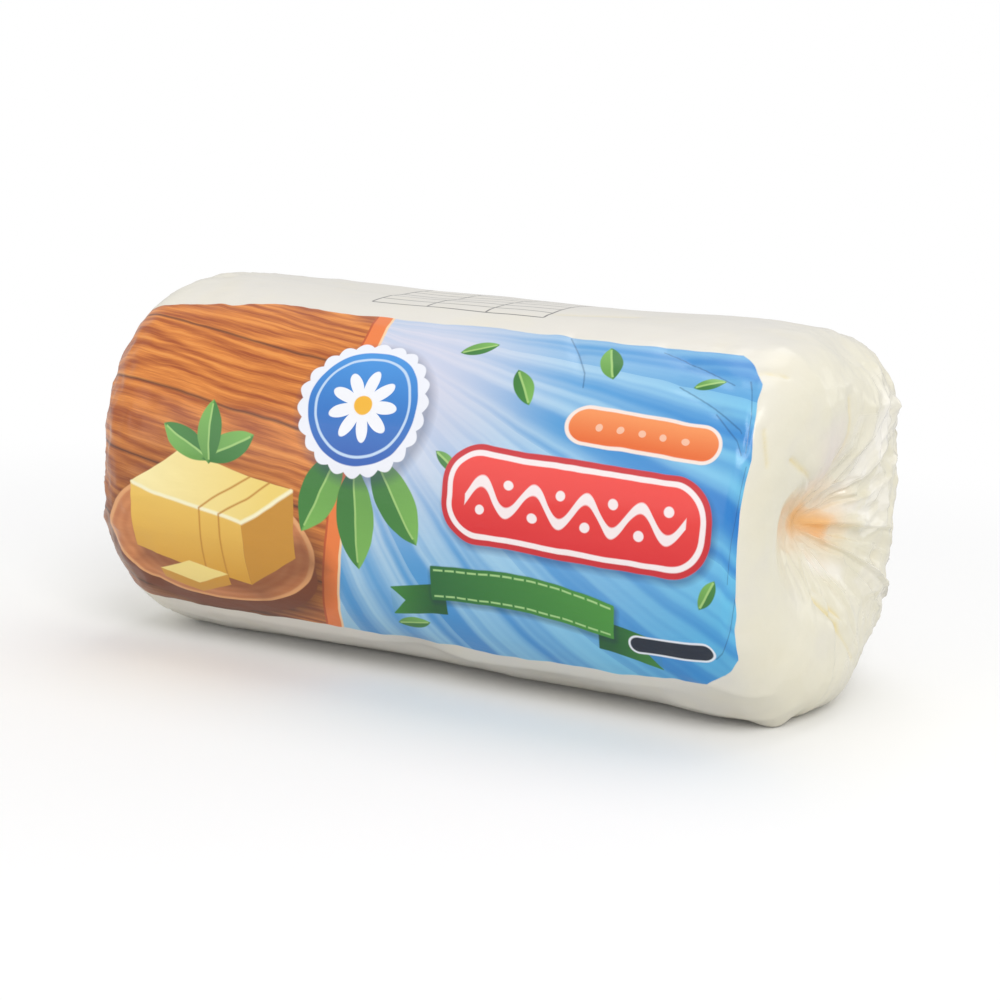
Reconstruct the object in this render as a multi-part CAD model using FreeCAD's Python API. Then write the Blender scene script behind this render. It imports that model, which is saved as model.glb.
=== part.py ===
import FreeCAD, Part

import os
from math import cos, pi, sin

# A one-kilogram roll of butter in its shut film wrapper, lying on its long side.
# The roll is one solid. Its axis runs along X, the printed side faces -Y, and it rests on Z = 0.
# The origin is at the middle of the underside.

# Driving dimensions, in millimetres
ROLL_LENGTH = 177.0
ROLL_DEPTH = 89.0
ROLL_HEIGHT = 86.5
REST_FLAT_DEPTH = 1.0     # how far the underside is pressed flat by the roll's own weight
UNDERSIDE_HOLLOW = 0.7    # how far the underside draws in halfway along
TOP_FALL = 2.2            # how much lower the top lies at the +X end than at the -X end
SHOULDER_RADIUS = 15.5
DIMPLE_DEPTH = 13.0       # how far the wrapper is gathered in, at the middle of each end
DIMPLE_SHARPNESS = 2.2    # 1 is a wide bowl, and more is a narrower pinch
MOUTH_RADIUS = 3.0        # the flat knot of film at the bottom of each dimple
PLEAT_DEPTH = 1.4
FOLD_DEPTH = 1.2

# How square the cross-section is: 2 is an ellipse, and more is squarer
SQUARENESS = 2.35
BACK_TOP_SQUARENESS = 3.2

# The gathered film on each end: fine pleats, and the fewer loose folds that carry them
PLEATS = 15
FOLDS = 6
PLEAT_DRIFT = 0.9         # how unevenly the pleats are spread, in radians

# How finely the skin is sampled, and the degree of the curves through it
POINTS_AROUND = 96
SIDE_RINGS = 9
SHOULDER_RINGS = 6
FACE_RINGS = 11
CUBIC = 3

HALF_LENGTH = ROLL_LENGTH / 2
HALF_HEIGHT = ROLL_HEIGHT / 2
FACE_RADIUS = HALF_HEIGHT - SHOULDER_RADIUS

# The angles of a ring's points, round the section from the underside
ANGLES = [2 * pi * step / POINTS_AROUND - pi / 2 for step in range(POINTS_AROUND)]


def outline(angle, radius):
    """Return (y, z) on a cross-section whose half height is radius, measured from the axis."""
    corner = max(0.0, cos(angle - pi / 4))
    power = SQUARENESS + (BACK_TOP_SQUARENESS - SQUARENESS) * corner ** 4
    half_depth = radius * ROLL_DEPTH / ROLL_HEIGHT
    y = half_depth * abs(cos(angle)) ** (2 / power)
    z = radius * abs(sin(angle)) ** (2 / power)
    return (y if cos(angle) > 0 else -y), (z if sin(angle) > 0 else -z)


def skin_point(angle, x, radius):
    """Return a point of the skin, with the top's fall and the underside's hollow worked in."""
    y, z = outline(angle, radius)
    turn = pi * x / ROLL_LENGTH
    reach = radius / HALF_HEIGHT
    if z > 0:
        z -= TOP_FALL / 2 * sin(turn) * reach * sin(angle)
    else:
        z -= UNDERSIDE_HOLLOW / 2 * cos(2 * turn) * reach * sin(angle)
    return FreeCAD.Vector(x, y, z)


def ring(x_at, radius):
    """Return a ring of skin points, where x_at gives x for each angle."""
    return [skin_point(angle, x_at(angle), radius) for angle in ANGLES]


def side_ring(x):
    """Return a ring round the long side of the roll."""
    return ring(lambda angle: x, HALF_HEIGHT)


def shoulder_ring(end, turn):
    """Return a ring on the rounded shoulder, turn running from 0 at the side to pi/2 at the end."""
    x = HALF_LENGTH - SHOULDER_RADIUS * (1 - sin(turn))
    return ring(lambda angle: end * x, HALF_HEIGHT - SHOULDER_RADIUS * (1 - cos(turn)))


def pleating(angle, end):
    """Return how far in the gathered film lies at an angle, from nothing on a crest."""
    pleat = cos(PLEATS * angle + PLEAT_DRIFT * sin(3 * angle) + end)
    fold = cos(FOLDS * angle + PLEAT_DRIFT * sin(2 * angle) - end)
    return PLEAT_DEPTH * (1 - pleat) / 2 + FOLD_DEPTH * (1 - fold) / 2


def face_ring(end, share):
    """Return a ring on the gathered end, share running from 1 at the shoulder to 0 at the mouth."""
    dimple = DIMPLE_DEPTH * ((1 + cos(pi * share)) / 2) ** DIMPLE_SHARPNESS
    gather = sin(pi * share) ** 2
    radius = MOUTH_RADIUS + (FACE_RADIUS - MOUTH_RADIUS) * share
    return ring(lambda angle: end * (HALF_LENGTH - dimple - gather * pleating(angle, end)), radius)


def end_rings(end):
    """Return the rings of one end, from the shoulder in to the mouth."""
    shoulder = [shoulder_ring(end, pi / 2 * step / SHOULDER_RINGS) for step in range(SHOULDER_RINGS)]
    face = [face_ring(end, 1 - step / FACE_RINGS) for step in range(FACE_RINGS + 1)]
    return shoulder + face


def side_rings():
    """Return the rings between the two shoulders."""
    reach = HALF_LENGTH - SHOULDER_RADIUS
    steps = SIDE_RINGS + 1
    return [side_ring(reach * (1 - 2 * step / steps)) for step in range(1, steps)]


def smooth_skin(rings):
    """Return the smooth face that follows the rings: open along the roll, endless round it."""
    clamped = CUBIC + 1
    along_knots = [clamped] + [1] * (len(rings) - clamped) + [clamped]
    round_knots = [1] * (POINTS_AROUND + 1)
    skin = Part.BSplineSurface()
    skin.buildFromPolesMultsKnots(
        rings, along_knots, round_knots,
        list(range(len(along_knots))), list(range(len(round_knots))),
        False, True, CUBIC, CUBIC)
    return skin.toShape()


def butter_roll():
    """Return the whole roll: its skin closed at both mouths, flat underneath, resting on Z = 0."""
    side = smooth_skin(end_rings(1)[::-1] + side_rings() + end_rings(-1))
    mouths = [Part.Face(Part.Wire(edge)).reversed() for edge in side.Edges if edge.isClosed()]
    body = Part.makeSolid(Part.makeShell([side] + mouths))
    body.translate(FreeCAD.Vector(0, 0, HALF_HEIGHT - REST_FLAT_DEPTH))
    below = Part.makeBox(2 * ROLL_LENGTH, 2 * ROLL_DEPTH, ROLL_HEIGHT)
    below.translate(FreeCAD.Vector(-ROLL_LENGTH, -ROLL_DEPTH, -ROLL_HEIGHT))
    return body.cut(below).Solids[0]


os.makedirs("parts", exist_ok=True)
butter_roll().exportStep("parts/butter_roll.step")
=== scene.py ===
# %% [markdown]
# # A roll of butter in its film wrapper
#
# A kilogram of butter is pressed into a rounded-square log, wrapped in one sheet of printed film, and the
# film is gathered and tucked in at each end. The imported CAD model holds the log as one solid. This lesson
# dresses it: the wrapper is made as what it is, a flat sheet that is rolled round the log, and its print is
# built up ink by ink in the material.

# %% Load the frame
from math import atan2, cos, degrees, hypot, pi, radians, sin

import bpy
import numpy as np
from mathutils import Matrix, Vector, noise


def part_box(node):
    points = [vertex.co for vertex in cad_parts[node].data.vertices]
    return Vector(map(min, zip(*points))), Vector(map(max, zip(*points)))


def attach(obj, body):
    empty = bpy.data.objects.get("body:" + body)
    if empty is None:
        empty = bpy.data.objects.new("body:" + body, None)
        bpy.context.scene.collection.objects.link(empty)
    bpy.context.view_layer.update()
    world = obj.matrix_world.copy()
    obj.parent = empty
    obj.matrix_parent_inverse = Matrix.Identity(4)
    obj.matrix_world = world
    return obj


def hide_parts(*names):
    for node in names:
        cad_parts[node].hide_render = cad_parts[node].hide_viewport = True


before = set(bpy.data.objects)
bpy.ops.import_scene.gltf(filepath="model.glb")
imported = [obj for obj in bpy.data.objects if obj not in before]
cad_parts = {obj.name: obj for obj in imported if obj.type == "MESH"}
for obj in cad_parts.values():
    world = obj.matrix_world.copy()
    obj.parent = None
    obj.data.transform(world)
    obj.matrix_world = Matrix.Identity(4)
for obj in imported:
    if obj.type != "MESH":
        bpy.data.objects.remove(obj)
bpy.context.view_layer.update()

MM = 0.001
LOW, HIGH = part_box("butter_roll")
bpy.ops.object.select_all(action="DESELECT")
print("roll measures", [round(size / MM, 1) for size in HIGH - LOW], "mm")

# %% [markdown]
# ## The log's form
#
# The wrapper has to follow the log closely, so the log's form is written here as one function. Its overall
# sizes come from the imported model's box. A cross-section is a superellipse, a curve between an ellipse and a
# rectangle, a little squarer at its back top corner. The ends have rounded shoulders and dip to a dimple.

# %% Sizes of the log
HALF_LENGTH = (HIGH.x - LOW.x) / 2
HALF_DEPTH = (HIGH.y - LOW.y) / 2
HALF_HEIGHT = (HIGH.z - LOW.z) / 2
REST_FLAT = 1.0 * MM          # how far the underside is pressed flat
AXIS_HEIGHT = HALF_HEIGHT - REST_FLAT
SHOULDER = 15.5 * MM
FACE_RADIUS = HALF_HEIGHT - SHOULDER
TOP_FALL = 2.2 * MM
UNDERSIDE_HOLLOW = 0.7 * MM
DIMPLE_DEPTH = 12.5 * MM
DIMPLE_SHARPNESS = 1.6
SQUARENESS = 2.35
BACK_TOP_SQUARENESS = 3.2

# Distances along the film, from the middle of the log towards either end
SHOULDER_START = HALF_LENGTH - SHOULDER
FACE_START = SHOULDER_START + SHOULDER * pi / 2
FILM_END = FACE_START + FACE_RADIUS


def section(angle, radius):
    """Return (y, z) on the log's section, from its axis, for arrays of angles and half heights."""
    corner = np.maximum(0.0, np.cos(angle - pi / 4))
    power = SQUARENESS + (BACK_TOP_SQUARENESS - SQUARENESS) * corner ** 4
    y = radius * HALF_DEPTH / HALF_HEIGHT * np.abs(np.cos(angle)) ** (2 / power) * np.sign(np.cos(angle))
    z = radius * np.abs(np.sin(angle)) ** (2 / power) * np.sign(np.sin(angle))
    return y, z


def turn_between(angle_a, angle_b):
    """Return the signed turn from angle_b to angle_a, between -pi and pi."""
    return (angle_a - angle_b + pi) % (2 * pi) - pi


# The gather draws the rim in on one side of each end, and lies a little off the middle.
# The first number is for the front end (+X) and the second for the far end.
PULL_DEPTH = (8.0 * MM, 3.5 * MM)
PULL_TOWARD = (radians(178), radians(-20))
PULL_SPREAD = (0.85, 0.90)
GATHER_ACROSS = (-5.0 * MM, 3.0 * MM)


def by_end(along, pair):
    """Return the first of a pair for points on the front half, and the second for the far half."""
    return np.where(along > 0, pair[0], pair[1])


def log_point(along, angle):
    """Return points on the log's skin, along being the film distance from its middle."""
    reach = np.abs(along)
    turn = np.clip((reach - SHOULDER_START) / SHOULDER, 0, pi / 2)
    share = np.clip((FILM_END - reach) / FACE_RADIUS, 0, 1)
    radius = HALF_HEIGHT - SHOULDER * (1 - np.cos(turn))
    radius = np.where(reach > FACE_START, FACE_RADIUS * share, radius)
    turned = turn_between(angle, by_end(along, PULL_TOWARD)) / by_end(along, PULL_SPREAD)
    pulled = np.exp(-turned ** 2)
    dimple = DIMPLE_DEPTH * ((1 + np.cos(pi * share)) / 2) ** (DIMPLE_SHARPNESS - pulled)
    x = np.minimum(reach, SHOULDER_START) + SHOULDER * np.sin(turn)
    x = np.where(reach > FACE_START, HALF_LENGTH - dimple, x)
    x = (x - by_end(along, PULL_DEPTH) * pulled * np.sin(turn) * share) * np.sign(along)
    y, z = section(angle, radius)
    y = y + by_end(along, GATHER_ACROSS) * (1 - share)
    lean = pi * x / (2 * HALF_LENGTH)
    part = radius / HALF_HEIGHT * np.sin(angle)
    fall = TOP_FALL / 2 * np.sin(lean) * part
    hollow = UNDERSIDE_HOLLOW / 2 * np.cos(2 * lean) * part
    z = z - np.where(z > 0, fall, hollow)
    return np.stack([x, y, z + AXIS_HEIGHT], axis=-1)


# Distance round the section from the middle of the front, upwards, against the section's angle
ROUND_STEPS = 4000
ROUND_ANGLES = np.linspace(pi, -pi, ROUND_STEPS + 1)
ROUND_PATH = np.stack(section(ROUND_ANGLES, HALF_HEIGHT), axis=-1)
ROUND_DISTANCE = np.concatenate([[0], np.cumsum(np.linalg.norm(np.diff(ROUND_PATH, axis=0), axis=1))])
GIRTH = ROUND_DISTANCE[-1]


def angle_at(around):
    """Return the section's angle at a distance round the film from the middle of the front."""
    return np.interp(around % GIRTH, ROUND_DISTANCE, ROUND_ANGLES)


print("girth", round(GIRTH / MM, 1), "mm, film", round(2 * FILM_END / MM, 1), "mm long")

# %% [markdown]
# ## The sheet of film
#
# The wrapper starts as a flat grid, as the real one starts as a sheet cut from a reel. Every point of the
# grid keeps two numbers for life: how far along the roll it lies, and how far round. They place it on the
# log now, and later they place the print on it. The rows lie closer together where the film is creased or
# gathered and needs more points.

# %% Lay out the sheet
ROWS_ROUND = 340
ROW_BREAKS = [0, 72, 124, 190, 292]          # how many rows lie before each of the places below
ROW_PLACES = [-FILM_END, -SHOULDER_START, 24 * MM, SHOULDER_START, FILM_END]
LAP_AT = -118 * MM                           # where the sheet's two long edges meet, low on the back

bpy.ops.mesh.primitive_grid_add(x_subdivisions=ROW_BREAKS[-1], y_subdivisions=ROWS_ROUND, size=1)
wrapper = bpy.context.object
wrapper.name = "wrapper"
flat = np.array([vertex.co for vertex in wrapper.data.vertices])
along = np.interp((flat[:, 0] + 0.5) * ROW_BREAKS[-1], ROW_BREAKS, ROW_PLACES)
around = LAP_AT + (flat[:, 1] + 0.5) * GIRTH
angle = angle_at(around)
print("sheet has", len(flat), "points")

# %% [markdown]
# ## Folds and creases
#
# Film that is gathered has more width than the end has room for, so it folds over itself. Each fold stands
# a little proud along its edge and slopes back on one side, like a lap. The folds are a short given list:
# the way each one points, how far out it reaches, how high it stands, which side it slopes to, how
# wide it is and how it bends. Sharp creases are lists of lines, on the flat film or across the end.

# %% Helpers for relief
def ease(low, high, value):
    """Return 0 below low, 1 above high, and a smooth rise between."""
    share = np.clip((value - low) / (high - low), 0, 1)
    return share * share * (3 - 2 * share)


def noise_at(points, size, shift=0.0):
    """Return smooth noise, about -1 to 1, whose lumps are size apart."""
    offset = Vector((shift, shift * 0.7, -shift))
    return np.array([noise.noise(Vector(point) / size + offset) for point in points])


def ridges_at(points, size, shift=0.0):
    """Return sharp-edged noise, from about -1 in the hollows to 1 along thin ridges."""
    return 1 - 3.2 * np.abs(noise_at(points, size, shift))


def line_distance(points, start, end):
    """Return each point's distance to the line between start and end, in a plane."""
    start = np.array(start)
    run = np.array(end) - start
    share = np.clip((points - start) @ run / (run @ run), 0, 1)
    return np.linalg.norm(points - start - share[:, None] * run, axis=1)


# %% Folds that run into the gather
# Direction in degrees, reach, height, slope side, width, bend
FRONT_FOLDS = [
    (146, 30, 1.0, -1, 9.0, 0.10), (118, 26, 1.1, 1, 4.0, 0.05), (84, 34, 1.4, -1, 8.0, -0.12),
    (63, 40, 1.0, 1, 5.0, 0.12), (33, 42, 1.2, 1, 5.0, 0.16), (14, 44, 1.3, -1, 5.0, 0.05),
    (-4, 40, 1.2, 1, 4.0, -0.10), (-20, 36, 1.0, -1, 4.5, 0.10), (-37, 50, 1.6, 1, 3.6, 0.05),
    (-50, 44, 1.1, -1, 4.0, 0.10), (-80, 36, 0.9, 1, 6.0, -0.10), (-106, 42, 1.1, -1, 8.0, 0.12),
    (-128, 26, 0.8, 1, 5.0, 0.06), (-160, 22, 0.6, -1, 6.0, 0.10)]
FAR_FOLDS = [
    (96, 44, 1.3, 1, 7.0, 0.12), (62, 48, 1.4, 1, 7.0, 0.18), (31, 38, 1.0, -1, 5.0, -0.10),
    (4, 46, 1.4, 1, 8.0, 0.10), (-27, 40, 1.0, 1, 5.0, 0.16), (-58, 48, 1.3, -1, 7.0, -0.15),
    (-88, 38, 0.9, 1, 6.0, 0.12), (-118, 46, 1.4, 1, 6.0, 0.08), (-149, 42, 1.1, -1, 6.0, -0.12),
    (176, 48, 1.3, 1, 8.0, 0.15), (146, 36, 0.9, 1, 5.0, 0.10), (122, 44, 1.2, -1, 6.0, -0.08)]

FOLD_RADIUS = 38 * MM         # past this distance from the gather a fold keeps its width
FOLD_BENT_AT = 40 * MM        # here a fold has turned by its whole bend
FOLD_WIDE_AT = 30 * MM        # here a fold has its full width
FOLD_LIP = (-0.6 * MM, 0.15 * MM)


def fold_relief(folds, from_centre, angle):
    """Return the height of the gathered folds, from_centre being the film distance from the gather."""
    height = np.zeros_like(angle)
    radius = np.minimum(from_centre, FOLD_RADIUS)
    for toward, reach, stand, side, width, bend in folds:
        line = radians(toward) + bend * (from_centre / FOLD_BENT_AT) ** 2
        across = turn_between(angle, line) * radius * side
        spread = width * MM * (0.35 + 0.65 * from_centre / FOLD_WIDE_AT)
        slope = np.exp(-np.maximum(across, 0) / spread) * ease(*FOLD_LIP, across)
        fade = (1 - ease(0.4 * reach * MM, reach * MM, from_centre)) * ease(1 * MM, 9 * MM, from_centre)
        height = np.maximum(height, stand * MM * slope * fade)
    return height


# %% Creases across the end
# Each crease: its points, in mm from the log's axis towards the back and up; height; width
# The far end has the same creases, turned half round
FACE_CREASES = [
    ((-29, 18), (-16, 11), -0.8, 1.0), ((-18, 28), (-17, 8), 0.5, 2.0), ((-7, 29), (-6, 9), -0.6, 1.6),
    ((4, 10), (5, 26), 0.9, 2.0), ((5, 26), (24, 24), 0.7, 2.4), ((8, 11), (24, 24), 0.9, 1.8),
    ((4, 10), (8, 11), 0.7, 1.6), ((8, 11), (22, 9), 0.7, 2.0), ((22, 9), (36, 12), 0.7, 3.0),
    ((-4, 8), (4, 10), 0.6, 1.4), ((-1, 3), (9, 6), 0.9, 1.2), ((9, 6), (21, 2), 0.8, 1.8),
    ((-1, 0), (12, -1), 0.9, 1.2), ((12, -1), (26, -7), 0.7, 2.0), ((-4, -4), (5, -9), 0.9, 1.2),
    ((5, -9), (20, -17), 0.7, 2.2), ((5, -9), (12, -1), 0.7, 1.4), ((-9, -5), (-8, -14), 0.7, 1.0),
    ((-12, -5), (-14, -13), 0.7, 0.9), ((-15, -4), (-18, -12), 0.6, 1.0), ((-6, -6), (-3, -13), 0.7, 1.0),
    ((-12, -13), (-5, -21), -1.0, 0.9), ((-9, -12), (-2, -20), -0.8, 0.9), ((-5, -21), (3, -30), -0.6, 1.4),
    ((-2, -20), (6, -28), 0.5, 1.4), ((14, 14), (16, 34), 0.6, 2.4), ((24, 24), (34, 16), 0.7, 2.4)]


def crease_relief(points, creases):
    """Return the height of creases with sharp crests, the points in mm."""
    height = np.zeros(len(points))
    for *crease, stand, width in creases:
        for start, end in zip(crease, crease[1:]):
            height += stand * MM * np.exp(-line_distance(points, start, end) / width)
    return height


# %% Creases in the side of the film
# Each crease: its points on the flat film, in mm along and round; height; width
# The first few cross the print, which has painted shade along them
PRINT_CREASES = [
    ((57.8, 35.5), (67.5, 30.7), (74, 26.1), -0.6, 1.2), ((67.2, 29.9), (70.5, 26.6), (76, 21.3), -0.4, 1.1),
    ((72, 39.1), (75.6, 30.2), (77.5, 22), -0.35, 1.1), ((80, -9.5), (77.5, -16.3), (71.5, -24), -0.5, 1.1)]
SIDE_CREASES = PRINT_CREASES + [
    ((28.8, 48), (32.8, 41.7), (36.6, 34), -0.35, 1.2), ((50.8, 46.2), (57.8, 43.1), -0.5, 1.3),
    ((57.8, 43.1), (69, 37.6), -0.6, 1.3), ((79, 19), (79, 9), -0.3, 1.1), ((79, 9), (76.5, -6), -0.4, 1.1),
    ((73, 42), (80, 43.6), -0.6, 1.1), ((75, 52), (88, 48), 0.6, 3.0), ((81, 28), (86, 21), -0.6, 1.4),
    ((-22, 44.5), (4, 41.5), 0.35, 1.8), ((4, 41.5), (22, 43), 0.2, 1.8), ((20, 60), (36, 66), -0.5, 3.5),
    ((-70, 49), (-66, 42), 0.22, 1.2), ((-62, 50), (-60, 43), 0.22, 1.2), ((-55, 51), (-52, 44), 0.2, 1.2),
    ((-46, 50), (-44, 44), 0.2, 1.2), ((-36, 51), (-36, 45), 0.2, 1.2), ((-28, 50), (-29, 45), 0.18, 1.2),
    ((-76, 36), (-90, 30), 0.5, 2.5), ((-80, 12), (-92, 10), 0.5, 2.5), ((-78, -14), (-92, -16), 0.5, 2.5),
    ((-60, -38), (10, -40), (60, -36), 0.35, 2.5), ((66, -30), (82, -38), 0.8, 2.5),
    ((60, -44), (84, -50), 0.8, 3.0), ((-20, 120), (30, 126), 0.5, 3.0), ((-60, 108), (-20, 112), 0.4, 3.0),
    ((40, 96), (70, 104), 0.5, 3.0), ((-70, 92), (-50, 84), 0.4, 3.0), ((50, 140), (66, 128), 0.5, 2.5),
    ((-66, 145), (-40, 137), 0.5, 3.0), ((0, 140), (50, 146), 0.4, 3.0), ((-60, -90), (0, -94), 0.3, 3.0)]

# %% Dents and bulges of the soft roll
# Place along and round in mm, height, spread along and round
DENTS = [
    (-78, 45, 0.5, 8, 8), (-20, 72, -0.8, 20, 14), (58, 74, 0.8, 14, 16), (84, 78, -2.4, 8, 11),
    (-3, -41, -1.5, 8, 6), (30, -43, -0.6, 14, 6), (64, -50, 1.0, 11, 6), (78, -54, 1.9, 4, 4),
    (88, -73, 2.7, 9, 15), (-83, -14, 0.6, 9, 20), (98, 125, -1.4, 9, 12), (30, 130, 0.6, 20, 14),
    (-50, 140, -0.6, 18, 16), (-10, 105, 0.5, 22, 12)]


def dent_relief(points):
    """Return the height of the dents, counted across the sheet's joined edges too."""
    height = np.zeros(len(points))
    half_girth = GIRTH / MM / 2
    for place_along, place_round, stand, spread_along, spread_round in DENTS:
        off_along = (points[:, 0] - place_along) / spread_along
        off_round = (points[:, 1] - place_round + half_girth) % (2 * half_girth) - half_girth
        height += stand * MM * np.exp(-off_along ** 2 - (off_round / spread_round) ** 2)
    return height


# %% Crumpled facets
def facets_at(points, size):
    """Return crumpled facets, 0 along their straight ridges and lower inside, and a tone for each."""
    hollow = np.zeros(len(points))
    tone = np.zeros(len(points))
    for number, point in enumerate(points):
        distances, centres = noise.voronoi(Vector(point) / size)
        hollow[number] = distances[0] - distances[1]
        tone[number] = noise.cell(centres[0] * 9.7)
    return hollow, tone


# %% Places on the sheet
base = log_point(along, angle)
in_mm = base / MM
on_film = np.stack([along, around], axis=-1) / MM
across_face = in_mm[:, 1:] - (0, AXIS_HEIGHT / MM)
from_centre = FILM_END - np.abs(along)
front_end = along > 0
print("the front gather lies at", in_mm[np.argmax(along)].round(1), "mm")

# %% Zones of the sheet
CRUMPLE_TOWARD = radians(6)      # the side of the front end that is crumpled most
CRUMPLE_SPREAD = 1.25
SLACK_TURN = 0.35                # the slackest film lies this far below the middle of the back


def zone(rise_start, rise_end, fall_start, fall_end):
    """Return 1 between two distances from the gather, in mm, with a smooth rise and fall around them."""
    rise = ease(rise_start * MM, rise_end * MM, from_centre)
    return rise * (1 - ease(fall_start * MM, fall_end * MM, from_centre))


on_face = 1 - ease(40 * MM, 56 * MM, from_centre)
front_share = np.where(front_end, on_face, 0)
far_share = np.where(front_end, 0, on_face)
gather_zone = zone(2, 9, 24, 46)
shoulder_zone = zone(24, 38, 44, 84)
away_from_ends = ease(26 * MM, 50 * MM, from_centre)
front_rough = 0.12 + 0.88 * np.exp(-(turn_between(angle, CRUMPLE_TOWARD) / CRUMPLE_SPREAD) ** 2)
far_rough = 0.55 + 0.45 * noise_at(in_mm, 24.0, 6.0)
rough = np.where(front_end, front_rough, far_rough)
slack = 0.1 + 0.9 * ease(-0.2, 0.7, np.cos(angle + SLACK_TURN))
print("points in the gathers", int((gather_zone > 0).sum()))

# %% Folds and creases of the sheet
folds = np.where(
    front_end, fold_relief(FRONT_FOLDS, from_centre, angle), fold_relief(FAR_FOLDS, from_centre, angle))
face_creases = front_share * crease_relief(across_face, FACE_CREASES)
face_creases = face_creases + far_share * crease_relief(-across_face, FACE_CREASES)
side_creases = crease_relief(on_film, SIDE_CREASES)
print("folds stand", round(folds.max() / MM, 2), "mm high")

# %% Streaks that run into the gather
# They are noise on a cylinder, drawn out along the film
STREAK_RADIUS = 26
STREAK_STRETCH = 2.6
FAR_STREAKS = 80                 # keeps the far end's streaks unlike the front's
streak_along = from_centre / MM / STREAK_STRETCH + np.where(front_end, 0, FAR_STREAKS)
streak_round = STREAK_RADIUS * np.stack([np.cos(angle), np.sin(angle)], axis=-1)
streak_points = np.column_stack([streak_round, streak_along])
fine_streaks = ridges_at(streak_points, 5.0, 3.1)
broad_streaks = noise_at(streak_points, 13.0, 8.4)
print("streaks", round(fine_streaks.min(), 2), "to", round(fine_streaks.max(), 2))

# %% Crumpled film, in facets of two sizes
FACET_SIZE = 9.5
SMALL_FACET_SIZE = 4.2
RIDGE_BEND = 1.2
ridge_bends = np.stack([noise_at(in_mm, 9.0, shift) for shift in (1.1, 2.2, 3.3)], axis=-1)
bent = in_mm + RIDGE_BEND * ridge_bends
facets, tones = facets_at(bent, FACET_SIZE)
small_facets, small_tones = facets_at(bent, SMALL_FACET_SIZE)
crumple = 1.6 * (facets + 0.3) + 0.6 * (small_facets + 0.3) + 0.25 * ridges_at(in_mm, 4.6, 9.2)
print("crumple", round(crumple.min(), 2), "to", round(crumple.max(), 2), "mm")

# %% Slack film and the lap
LAP_STEP = 0.8 * MM
LAP_LIP = (-0.2 * MM, 0.7 * MM)
LAP_SLOPE = 14 * MM
LAP_SHIFT = 3 * MM
LAP_WAVE = 1.2 * MM
long_folds = np.maximum(ridges_at(in_mm * (0.2, 1, 1), 12.0, 6.1), -0.6)
cross_folds = np.maximum(ridges_at(in_mm * (1, 0.45, 0.45), 15.0, 1.9), -0.6)
loose = 0.80 * noise_at(in_mm, 24.0, 5.5) + 0.95 * long_folds + 0.55 * cross_folds
past_lap = around - LAP_AT - LAP_WAVE * noise_at(in_mm * (1, 0, 0), 30.0, 7.0) - LAP_SHIFT
lap = LAP_STEP * ease(*LAP_LIP, past_lap) * (1 - ease(LAP_LIP[1], LAP_SLOPE, past_lap))
print("lap stands", round(lap.max() / MM, 2), "mm high")

# %% Relief of the whole sheet
# The numbers are heights in mm
relief = folds + face_creases + side_creases + dent_relief(on_film)
relief = relief + gather_zone * rough * MM * (0.25 * fine_streaks + 1.2 * crumple)
relief = relief + gather_zone * 0.7 * MM * broad_streaks
relief = relief + shoulder_zone * MM * (0.40 * broad_streaks + 0.75 * rough * crumple)
relief = relief + 0.55 * MM * noise_at(in_mm, 46.0, 2.0) + 0.2 * MM * noise_at(in_mm, 17.0, 4.0)
relief = relief + slack * away_from_ends * MM * loose
relief = relief + lap
print("relief", round(relief.min() / MM, 2), "to", round(relief.max() / MM, 2), "mm")

# %% Wrap the sheet round the log
STEP = 0.05 * MM
inward_step = np.where(front_end, -STEP, STEP)
side_way = (log_point(along + inward_step, angle) - base) * np.sign(inward_step)[:, None]
round_way = log_point(along, angle_at(around + STEP)) - base
outward = np.cross(side_way, round_way)
outward = outward / np.maximum(np.linalg.norm(outward, axis=1), 1e-12)[:, None]
gathered = from_centre < 0.5 * MM
outward[gathered] = np.stack([np.sign(along), 0 * along, 0 * along], axis=-1)[gathered]
relief = relief * ease(0.8 * MM, 4 * MM, from_centre)
# The sheet starts a little inside the log, more so at the ends, so that its folds end near the log's skin
set_back = 0.4 * MM + 0.9 * MM * (1 - ease(30 * MM, 66 * MM, from_centre))
placed = base + outward * (relief - set_back)[:, None]
placed[:, 2] = np.maximum(placed[:, 2], 0.0)
wrapper.data.vertices.foreach_set("co", placed.ravel())
wrapper.data.update()
print("wrapped", [round(value / MM, 1) for value in placed.max(axis=0) - placed.min(axis=0)])

# %% [markdown]
# ## Maps and marks on the sheet
#
# The film map holds the two numbers of each point in millimetres, so the print can be measured out on it.
# A second map lays the whole sheet in a square, with most room for the printed side, for when the colours
# are saved to an image. Four marks, each one number for every point, say where butter shows through the
# film with painted fill light, where painted shade lies on the flap, where painted highlights lie on the
# facets, and where the film is pressed into a crease.

# %% Give the sheet its maps
# Places on the film in mm, and where they fall in the square map
SQUARE_ALONG = ([-126, -98, 80, 126], [0.01, 0.08, 0.90, 0.99])
SQUARE_ROUND = ([LAP_AT / MM, -40, 50, (LAP_AT + GIRTH) / MM], [0.01, 0.18, 0.70, 0.99])
corner_point = np.array([corner.vertex_index for corner in wrapper.data.loops])
film_map = wrapper.data.uv_layers[0]
film_map.name = "film"
film_map.data.foreach_set("uv", on_film[corner_point].ravel())
square_map = wrapper.data.uv_layers.new(name="OFBake")
square_along = np.interp(on_film[:, 0], *SQUARE_ALONG)
square_round = np.interp(on_film[:, 1], *SQUARE_ROUND)
square_map.data.foreach_set("uv", np.stack([square_along, square_round], axis=-1)[corner_point].ravel())
print("maps", [layer.name for layer in wrapper.data.uv_layers])

# %% Mark the film
def add_mark(name, values):
    """Keep one number for each point of the sheet, for the material to read."""
    mark = wrapper.data.attributes.new(name=name, type="FLOAT", domain="POINT")
    mark.data.foreach_set("value", values)
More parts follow.
